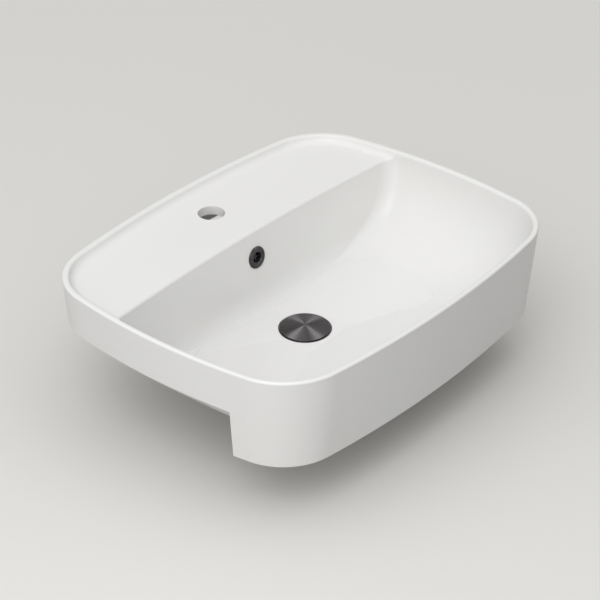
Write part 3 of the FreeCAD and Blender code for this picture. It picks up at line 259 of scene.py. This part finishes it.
@dataclass(frozen=True)
class SatinSurface(Finish):
    """A satin surface whose grain shows in its colour, its roughness and a slight bump."""

    name: str
    colour: str
    second_colour: str
    metallic: float
    roughness: float
    grain: float
    depth: float
    stretch: float = 1.0
    grain_detail: float = 3.0
    roughness_drift: float = 0.06
    bump_strength: float = 0.15

    def shade(self, tree: bpy.types.NodeTree) -> bpy.types.Node:
        """Grain that is even, or drawn out level round the piece where stretch is over 1."""
        place = add_node(tree, "ShaderNodeTexCoord").outputs["Object"]
        drawn = add_node(tree, "ShaderNodeMapping", inputs={
            "Vector": place, "Scale": (1.0, 1.0, self.stretch)})
        grain = add_node(tree, "ShaderNodeTexNoise", inputs={
            "Vector": drawn.outputs[0], "Scale": 1 / self.grain, "Detail": self.grain_detail})
        colour = add_node(tree, "ShaderNodeMix", {"data_type": "RGBA"}, {
            0: grain.outputs["Fac"], 6: linear(self.colour), 7: linear(self.second_colour)})
        rough = add_node(tree, "ShaderNodeMapRange", inputs={
            "Value": grain.outputs["Fac"], "To Min": self.roughness - self.roughness_drift,
            "To Max": self.roughness + self.roughness_drift})
        bump = add_node(tree, "ShaderNodeBump", inputs={
            "Height": grain.outputs["Fac"], "Strength": self.bump_strength,
            "Distance": self.depth})
        return add_node(tree, "ShaderNodeBsdfPrincipled", inputs={
            "Base Color": colour.outputs[2], "Metallic": self.metallic,
            "Roughness": rough.outputs[0], "Normal": bump.outputs[0]})


# Gunmetal plating on turned brass, satin: a dark edge that catches the light in a thin line.
SATIN_GUNMETAL = SatinSurface(
    name="satin_gunmetal_plated_brass", colour="6B696A", second_colour="5C5A5B",
    metallic=1.0, roughness=0.3, grain=0.35 * MM, depth=0.01 * MM)
# Bare machined brass: yellow, with the tool's fine rings 0.3 mm apart up its height.
MACHINED_BRASS = SatinSurface(
    name="machined_bare_brass", colour="D2B36A", second_colour="BE9A50",
    metallic=1.0, roughness=0.32, grain=3.0 * MM, depth=0.03 * MM, stretch=10.0)
# Drawn stainless steel wire and strip: bright grey, with a fine even grain.
DRAWN_STEEL = SatinSurface(
    name="drawn_stainless_steel", colour="C9C9C8", second_colour="B4B4B4",
    metallic=1.0, roughness=0.28, grain=0.6 * MM, depth=0.01 * MM)
# Moulded nitrile rubber: matt black with a fine bloom that lifts it towards grey.
MOULDED_RUBBER = SatinSurface(
    name="moulded_nitrile_rubber", colour="1B1B1B", second_colour="242423",
    metallic=0.0, roughness=0.68, grain=0.8 * MM, depth=0.04 * MM)
# Moulded acetal, black: smooth, with a soft shine and the mould's light texture.
BLACK_ACETAL = SatinSurface(
    name="moulded_black_acetal", colour="1E1E1F", second_colour="262627",
    metallic=0.0, roughness=0.34, grain=0.7 * MM, depth=0.02 * MM)
# Moulded polypropylene, white: waxy, between matt and shiny.
WHITE_POLYPROPYLENE = SatinSurface(
    name="moulded_white_polypropylene", colour="E4E3DF", second_colour="DAD9D4",
    metallic=0.0, roughness=0.45, grain=0.9 * MM, depth=0.03 * MM)


@dataclass
class Palette:
    """One built material for each finish of this basin."""

    cap_centre: Point
    china: bpy.types.Material = field(init=False)
    cap: bpy.types.Material = field(init=False)
    gunmetal: bpy.types.Material = field(init=False)
    brass: bpy.types.Material = field(init=False)
    steel: bpy.types.Material = field(init=False)
    rubber: bpy.types.Material = field(init=False)
    black_plastic: bpy.types.Material = field(init=False)
    white_plastic: bpy.types.Material = field(init=False)

    def __post_init__(self) -> None:
        """Builds every material once."""
        self.china = VitreousGlaze().build()
        self.cap = SpunGunmetal(centre=self.cap_centre).build()
        self.gunmetal = SATIN_GUNMETAL.build()
        self.brass = MACHINED_BRASS.build()
        self.steel = DRAWN_STEEL.build()
        self.rubber = MOULDED_RUBBER.build()
        self.black_plastic = BLACK_ACETAL.build()
        self.white_plastic = WHITE_POLYPROPYLENE.build()


# ---------------------------------------------------------------- making meshes
@dataclass(frozen=True)
class Corner:
    """One corner of a turned profile, in metres, and the radius that rounds it."""

    radius: float
    height: float
    rounding: float = 0.0


def rounded_profile(corners: Sequence[Corner], steps: int = 6) -> list[tuple[float, float]]:
    """Rounds the corners of a closed profile with short arcs.

    Args:
        corners: The profile's corners in order.
        steps: How many straight pieces make an arc.

    Returns:
        Radius and height of each point of the profile.
    """
    points: list[tuple[float, float]] = []
    for index, corner in enumerate(corners):
        here = Vector((corner.radius, corner.height))
        if corner.rounding == 0:
            points.append(tuple(here))
            continue
        before, after = corners[index - 1], corners[(index + 1) % len(corners)]
        to_last = (Vector((before.radius, before.height)) - here).normalized()
        to_next = (Vector((after.radius, after.height)) - here).normalized()
        half_angle = to_last.angle(to_next) / 2
        middle = (to_last + to_next).normalized() * (corner.rounding / math.sin(half_angle))
        reach = corner.rounding / math.tan(half_angle)
        start = to_last * reach - middle
        end = to_next * reach - middle
        for step in range(steps + 1):
            way = start.lerp(end, step / steps).normalized() * corner.rounding
            points.append(tuple(here + middle + way))
    return points


def turned_mesh(name: str, profile: Sequence[tuple[float, float]]) -> bpy.types.Mesh:
    """Turns a closed profile round the upright axis.

    Args:
        name: The mesh's name.
        profile: Radius and height of each point. A point of radius 0 becomes a closed pole,
            and the profile then need not return to its start.

    Returns:
        A closed mesh with outward faces.
    """
    build = bmesh.new()
    rings: list[list[bmesh.types.BMVert]] = []
    for radius, height in profile:
        if radius == 0:
            rings.append([build.verts.new((0.0, 0.0, height))])
            continue
        angles = [2 * math.pi * turn / ROUND_SEGMENTS for turn in range(ROUND_SEGMENTS)]
        rings.append([
            build.verts.new((radius * math.cos(a), radius * math.sin(a), height)) for a in angles])
    for first, second in zip(rings, rings[1:] + rings[:1]):
        if len(first) == 1 and len(second) == 1:
            continue
        for turn in range(ROUND_SEGMENTS):
            after = (turn + 1) % ROUND_SEGMENTS
            lower = [first[0]] if len(first) == 1 else [first[turn], first[after]]
            upper = [second[0]] if len(second) == 1 else [second[after], second[turn]]
            build.faces.new(lower + upper)
    bmesh.ops.recalc_face_normals(build, faces=build.faces)
    mesh = bpy.data.meshes.new(name)
    build.to_mesh(mesh)
    build.free()
    return mesh


def finished(mesh: bpy.types.Mesh) -> None:
    """Shades a mesh smooth, apart from its sharp edges."""
    mesh.shade_smooth()
    mesh.set_sharp_from_angle(angle=SHARP_ANGLE)


@dataclass
class SubAssembly:
    """Pieces that belong together: dresses CAD nodes and adds pieces of its own."""

    palette: Palette

    def dress(self, material: bpy.types.Material, *names: str) -> None:
        """Gives CAD nodes their material."""
        for name in names:
            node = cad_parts[name]
            node.data.materials.clear()
            node.data.materials.append(material)
            LOG.info("dressed %s with %s", name, material.name)

    def add_piece(
        self, mesh: bpy.types.Mesh, material: bpy.types.Material, body: Body, slot: Slot,
    ) -> bpy.types.Object:
        """Adds a mesh as a piece of its own.

        Args:
            mesh: The piece's mesh, whose name it takes.
            material: Its finish.
            body: What it rides on.
            slot: The record's slot that the finish belongs to. Not used.

        Returns:
            The new object.
        """
        finished(mesh)
        mesh.materials.clear()
        mesh.materials.append(material)
        piece = bpy.data.objects.new(mesh.name, mesh)
        bpy.context.scene.collection.objects.link(piece)
        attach(piece, body.value)
        LOG.info("built %s with %d faces", piece.name, len(mesh.polygons))
        return piece


# ---------------------------------------------------------------- the basin's sub-assemblies
@dataclass
class Ceramic(SubAssembly):
    """The fired piece."""

    def build(self) -> None:
        """Glazes the CAD node, whose shape is right as it is."""
        self.dress(self.palette.china, "basin")


@dataclass
class OverflowTrim(SubAssembly):
    """The ring round the overflow hole, and the sprung clip inside it."""

    outer: float = 14.5 * MM
    bore: float = 7.0 * MM
    thickness: float = 2.4 * MM
    barrel_radius: float = 11.6 * MM
    barrel_wall: float = 1.8 * MM
    barrel_length: float = 8.0 * MM
    wall_slope: float = 0.14
    drop_to_centre: float = 46.5 * MM
    bore_bevel: float = 0.15 * MM
    barrel_bevels: tuple[float, float] = (0.2 * MM, 0.3 * MM)
    seat_bevel: float = 0.1 * MM
    edge_rounding: float = 0.6 * MM
    shoulder_inset: float = 1.6 * MM
    shoulder_rounding: float = 0.9 * MM
    lip_width: float = 1.4 * MM
    lip_rounding: float = 0.8 * MM
    mouth_share: float = 0.45
    mouth_rounding: float = 0.4 * MM

    def seat(self) -> Matrix:
        """Where the ring stands: square to the leaning back wall, at the overflow hole."""
        lean = math.atan(self.wall_slope)
        box_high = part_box("overflow_ring")[1]
        behind = self.barrel_length * math.cos(lean) + self.barrel_radius * math.sin(lean)
        place = Vector((0.0, box_high[1] - behind, RIM_HEIGHT - self.drop_to_centre))
        return Matrix.Translation(place) @ Matrix.Rotation(math.pi / 2 - lean, 4, "X")

    def build(self) -> None:
        """Turns the ring with a crowned face and dresses the clip."""
        inner = self.barrel_radius - self.barrel_wall
        crown = self.thickness
        profile = rounded_profile([
            Corner(self.bore, 0.0, self.bore_bevel),
            Corner(inner, 0.0),
            Corner(inner, -self.barrel_length, self.barrel_bevels[0]),
            Corner(self.barrel_radius, -self.barrel_length, self.barrel_bevels[1]),
            Corner(self.barrel_radius, 0.0),
            Corner(self.outer, 0.0, self.seat_bevel),
            Corner(self.outer, crown / 2, self.edge_rounding),
            Corner(self.outer - self.shoulder_inset, crown, self.shoulder_rounding),
            Corner(self.bore + self.lip_width, crown, self.lip_rounding),
            Corner(self.bore, crown * self.mouth_share, self.mouth_rounding),
        ])
        mesh = turned_mesh("overflow_ring_turned", profile)
        place = self.seat()
        mesh.transform(place)
        spun = SpunGunmetal(
            name="spun_gunmetal_trim", centre=tuple(place.translation), tilt=place.to_euler().x)
        ring = self.add_piece(mesh, spun.build(), Body.BASIN, Slot.TRIM)
        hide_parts("overflow_ring")
        self.dress(self.palette.black_plastic, "overflow_clip")


@dataclass
class PlugCap(SubAssembly):
    """The domed cap that a push opens, with the plug's hidden pieces under it."""

    edge_height: float = 2.2 * MM
    edge_rounding: float = 0.55 * MM
    dome_lift: float = 0.12 * MM
    dome_steps: int = 28

    def dome(self, radius: float, foot: float, top: float) -> list[tuple[float, float]]:
        """The cap's upper line from its rounded edge to the middle.

        Args:
            radius: The cap's outer radius.
            foot: The height where the dome starts at that radius.
            top: The height of the middle.

        Returns:
            Radius and height of each point, the last on the axis.
        """
        rise = top - foot
        sphere = (radius ** 2 + rise ** 2) / (2 * rise)
        spread = math.asin(radius / sphere)
        edge = []
        for step in range(self.dome_steps + 1):
            angle = spread * (1 - step / self.dome_steps)
            edge.append((sphere * math.sin(angle), top - sphere * (1 - math.cos(angle))))
        edge[-1] = (0.0, top)
        return edge

    def build(self) -> None:
        """Spins the cap, and dresses what carries it."""
        low, high = (Vector(corner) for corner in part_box("plug_cap"))
        radius = (high.x - low.x) / 2
        middle = (low + high) / 2
        rounding = self.edge_rounding
        shoulder = low.z + self.edge_height
        dome = self.dome(radius - rounding, shoulder + self.dome_lift, high.z)
        side = rounded_profile([
            Corner(0.0, low.z),
            Corner(radius, low.z, rounding / 2),
            Corner(radius, shoulder, rounding),
            Corner(dome[1][0], dome[1][1]),
        ])[:-1]
        mesh = turned_mesh("plug_cap_spun", side + dome[1:])
        mesh.transform(Matrix.Translation((middle.x, middle.y, 0.0)))
        cap = self.add_piece(mesh, self.palette.cap, Body.PLUG, Slot.GUNMETAL)
        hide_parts("plug_cap")
        self.dress(self.palette.black_plastic, "plug_core", "cam_rotor")
        self.dress(self.palette.rubber, "plug_seal")
        self.dress(self.palette.brass, "plug_spindle", "lock_nut")
        self.dress(self.palette.steel, "retaining_ring", "return_spring")


@dataclass
class WasteFitting(SubAssembly):
    """The flanged tail under the bowl, its thread, and what clamps it."""

    axis_y: float = -208.172 * MM
    tail_radius: float = 20.95 * MM
    thread_depth: float = 0.9 * MM
    thread_pitch: float = 2.309 * MM
    thread_foot: float = -137.0 * MM
    thread_top: float = -118.6 * MM
    turn_steps: int = 48
    ridge_sides: int = 4
    crest_margin: float = 0.05 * MM

    def thread_tree(self) -> bpy.types.NodeTree:
        """A helical ridge of named sizes: a spiral that carries a diamond section."""
        tree = bpy.data.node_groups.new("tail_thread_ridge", "GeometryNodeTree")
        sockets = tree.interface
        sockets.new_socket("Geometry", in_out="OUTPUT", socket_type="NodeSocketGeometry")
        for name in ("Crest radius", "Depth", "Pitch", "Length"):
            sockets.new_socket(name, in_out="INPUT", socket_type="NodeSocketFloat")
        sockets.new_socket("Foot", in_out="INPUT", socket_type="NodeSocketVector")
        sockets.new_socket("Finish", in_out="INPUT", socket_type="NodeSocketMaterial")
        given = add_node(tree, "NodeGroupInput").outputs
        core = add_node(tree, "ShaderNodeMath", {"operation": "SUBTRACT"}, {
            0: given["Crest radius"], 1: given["Depth"]}).outputs[0]
        turns = add_node(tree, "ShaderNodeMath", {"operation": "DIVIDE"}, {
            0: given["Length"], 1: given["Pitch"]}).outputs[0]
        spiral = add_node(tree, "GeometryNodeCurveSpiral", inputs={
            "Resolution": self.turn_steps, "Rotations": turns, "Start Radius": core,
            "End Radius": core, "Height": given["Length"]})
        lifted = add_node(tree, "GeometryNodeSetPosition", inputs={
            "Geometry": spiral.outputs[0], "Offset": given["Foot"]})
        upright = add_node(tree, "GeometryNodeSetCurveNormal", {"mode": "Z_UP"}, {
            "Curve": lifted.outputs[0]})
        diamond = add_node(tree, "GeometryNodeCurvePrimitiveCircle", inputs={
            "Resolution": self.ridge_sides, "Radius": given["Depth"]})
        ridge = add_node(tree, "GeometryNodeCurveToMesh", inputs={
            "Curve": upright.outputs[0], "Profile Curve": diamond.outputs[0],
            "Fill Caps": True})
        solid = add_node(tree, "GeometryNodeRealizeInstances", inputs={0: ridge.outputs[0]})
        dressed = add_node(tree, "GeometryNodeSetMaterial", inputs={
            "Geometry": solid.outputs[0], "Material": given["Finish"]})
        add_node(tree, "NodeGroupOutput", inputs={0: dressed.outputs[0]})
        return tree

    def thread_mesh(self) -> bpy.types.Mesh:
        """Evaluates the helical ridge and keeps it as a plain mesh."""
        tree = self.thread_tree()
        holder = bpy.data.objects.new("thread_holder", bpy.data.meshes.new("thread_holder"))
        bpy.context.scene.collection.objects.link(holder)
        modifier = holder.modifiers.new("thread", "NODES")
        modifier.node_group = tree
        values = {
            "Crest radius": self.tail_radius, "Depth": self.thread_depth,
            "Pitch": self.thread_pitch, "Length": self.thread_top - self.thread_foot,
            "Foot": (0.0, self.axis_y, self.thread_foot), "Finish": self.palette.gunmetal}
        for item in tree.interface.items_tree:
            if item.in_out == "INPUT":
                modifier[item.identifier] = values[item.name]
        settled = holder.evaluated_get(bpy.context.evaluated_depsgraph_get())
        mesh = bpy.data.meshes.new_from_object(settled)
        mesh.name = "tail_thread"
        bpy.data.objects.remove(holder)
        return mesh

    def tail_mesh(self) -> bpy.types.Mesh:
        """The CAD waste body, its plain threaded length turned down to the thread's root."""
        build = bmesh.new()
        build.from_mesh(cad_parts["waste_body"].data)
        bmesh.ops.remove_doubles(build, verts=build.verts, dist=MERGE_DISTANCE)
        crest, root = self.tail_radius - self.crest_margin, self.tail_radius - self.thread_depth
        for vertex in build.verts:
            out = Vector((vertex.co.x, vertex.co.y - self.axis_y))
            if vertex.co.z < self.thread_top and out.length > crest:
                out *= root / out.length
                vertex.co.x, vertex.co.y = out.x, out.y + self.axis_y
        mesh = bpy.data.meshes.new("waste_body_turned")
        build.to_mesh(mesh)
        build.free()
        return mesh

    def build(self) -> None:
        """Adds the tail and its thread, and dresses the clamping pieces and the cartridge."""
        look = self.palette.gunmetal
        tail = self.add_piece(self.tail_mesh(), look, Body.BASIN, Slot.GUNMETAL)
        thread = self.add_piece(self.thread_mesh(), look, Body.BASIN, Slot.GUNMETAL)
        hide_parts("waste_body")
        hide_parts("waste_body")
        self.dress(self.palette.rubber, "flange_gasket", "lower_washer")
        self.dress(
            self.palette.white_plastic, "slip_washer", "cartridge_housing", "cartridge_sleeve")
        self.dress(self.palette.brass, "backnut")


# ---------------------------------------------------------------- the camera and the light
@dataclass(frozen=True)
class Lamp:
    """A soft square lamp: where it stands, its side and its power.

    The light of a lamp that is metal_only reaches the spun pieces and nothing else.
    """

    name: str
    place: Point
    size: float
    watts: float
    metal_only: bool = False


@dataclass
class Studio:
    """Pale floor, soft lamps and the camera at the photograph's angle."""

    azimuth: float = -50.148
    elevation: float = 32.058
    distance: float = 2.5602
    target: Point = (-0.0996, -0.2830, RIM_HEIGHT)
    focal_pixels: float = 2175.0
    image_width: float = 600.0
    sensor_width: float = 36.0
    near_clip: float = 0.05
    far_clip: float = 50.0
    floor_gap: float = 2.0 * MM
    floor_reach: float = 20.0
    sky_colour: str = "FAFAFA"
    sky_middle: Point = (-0.32, -0.13, 0.94)
    sky_dark_edge: float = -0.02
    sky_strength: float = 1.44
    sky_strength_seen: float = 1.0
    floor_colour: str = "D9D8D5"
    floor_bounce: str = "9A9997"
    spun_pieces: tuple[str, ...] = ("plug_cap_spun", "overflow_ring_turned")
    lamps: tuple[Lamp, ...] = (
        Lamp("key_lamp", (-1.5, -0.85, 1.7), 1.2, 11.0),
        Lamp("left_glint_lamp", (0.33, 0.9, 1.88), 0.5, 14.0, metal_only=True),
        Lamp("right_glint_lamp", (1.14, -0.1, 1.88), 0.5, 14.0, metal_only=True),
        Lamp("low_lamp", (-1.5, -0.8, 0.0), 0.9, 6.0),
    )
    lamp_aim: Point = (0.0, -0.2, 0.0)

    def add_camera(self) -> None:
        """Stands the camera where the photograph was taken from."""
        data = bpy.data.cameras.new("camera")
        data.sensor_width = self.sensor_width
        data.lens = self.focal_pixels / self.image_width * data.sensor_width
        data.clip_start = self.near_clip
        data.clip_end = self.far_clip
        camera = bpy.data.objects.new("camera", data)
        turn, rise = math.radians(self.azimuth), math.radians(self.elevation)
        level = math.cos(rise)
        back = Vector((math.sin(turn) * level, -math.cos(turn) * level, math.sin(rise)))
        camera.location = Vector(self.target) + back * self.distance
        camera.rotation_euler = (-back).to_track_quat("-Z", "Y").to_euler()
        bpy.context.scene.collection.objects.link(camera)
        bpy.context.scene.camera = camera

    def add_floor(self) -> None:
        """A wide pale floor just under the part."""
        mesh = bpy.data.meshes.new("floor")
        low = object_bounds()[0].z - self.floor_gap
        reach = self.floor_reach
        sides = ((-reach, -reach), (reach, -reach), (reach, reach), (-reach, reach))
        corners = [(x, y, low) for x, y in sides]
        mesh.from_pydata(corners, [], [(0, 1, 2, 3)])
        floor = bpy.data.objects.new("floor", mesh)
        bpy.context.scene.collection.objects.link(floor)
        material = bpy.data.materials.new("studio_floor")
        material.use_nodes = True
        tree = material.node_tree
        tree.nodes.clear()
        colour = add_node(tree, "ShaderNodeMix", {"data_type": "RGBA"}, {
            0: seen_as_background(tree), 6: linear(self.floor_bounce),
            7: linear(self.floor_colour)})
        shader = add_node(tree, "ShaderNodeBsdfDiffuse", inputs={"Color": colour.outputs[2]})
        add_node(tree, "ShaderNodeOutputMaterial", inputs={"Surface": shader.outputs[0]})
        mesh.materials.append(material)
        floor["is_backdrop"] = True

    def light(self) -> None:
        """A pale dome that is brightest up to the left, with two lamps and two glint lamps."""
        world = bpy.data.worlds.new("surround")
        world.use_nodes = True
        tree = world.node_tree
        tree.nodes.clear()
        way = add_node(tree, "ShaderNodeTexCoord").outputs["Generated"]
        facing = add_node(tree, "ShaderNodeVectorMath", {"operation": "DOT_PRODUCT"}, {
            0: way, 1: self.sky_middle})
        dome = add_node(tree, "ShaderNodeMapRange", inputs={
            "Value": facing.outputs["Value"], "From Min": self.sky_dark_edge, "From Max": 1.0,
            "To Min": 0.0, "To Max": self.sky_strength})
        strength = add_node(tree, "ShaderNodeMix", {"data_type": "FLOAT"}, {
            0: seen_as_background(tree), 2: dome.outputs[0], 3: self.sky_strength_seen})
        glow = add_node(tree, "ShaderNodeBackground", inputs={
            "Color": linear(self.sky_colour), "Strength": strength.outputs[0]})
        add_node(tree, "ShaderNodeOutputWorld", inputs={"Surface": glow.outputs[0]})
        bpy.context.scene.world = world
        spun = bpy.data.collections.new("spun_metal")
        for name in self.spun_pieces:
            spun.objects.link(bpy.data.objects[name])
        for lamp in self.lamps:
            data = bpy.data.lights.new(lamp.name, "AREA")
            data.size = lamp.size
            data.energy = lamp.watts
            light = bpy.data.objects.new(lamp.name, data)
            light.location = lamp.place
            aim = Vector(self.lamp_aim) - Vector(lamp.place)
            light.rotation_euler = aim.to_track_quat("-Z", "Y").to_euler()
            light.visible_camera = False
            if lamp.metal_only:
                light.light_linking.receiver_collection = spun
            bpy.context.scene.collection.objects.link(light)
        bpy.context.scene.view_settings.view_transform = "Standard"


def main() -> None:
    """Dresses and builds the sub-assemblies in order, and lights them."""
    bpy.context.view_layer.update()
    cap_low, cap_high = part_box("plug_cap")
    palette = Palette(tuple((Vector(cap_low) + Vector(cap_high)) / 2))
    for part in (Ceramic(palette), OverflowTrim(palette), PlugCap(palette), WasteFitting(palette)):
        part.build()
    studio = Studio()
    studio.add_camera()
    studio.add_floor()
    studio.light()


if __name__ == "__main__":
    logging.basicConfig(level=logging.INFO)
    main()
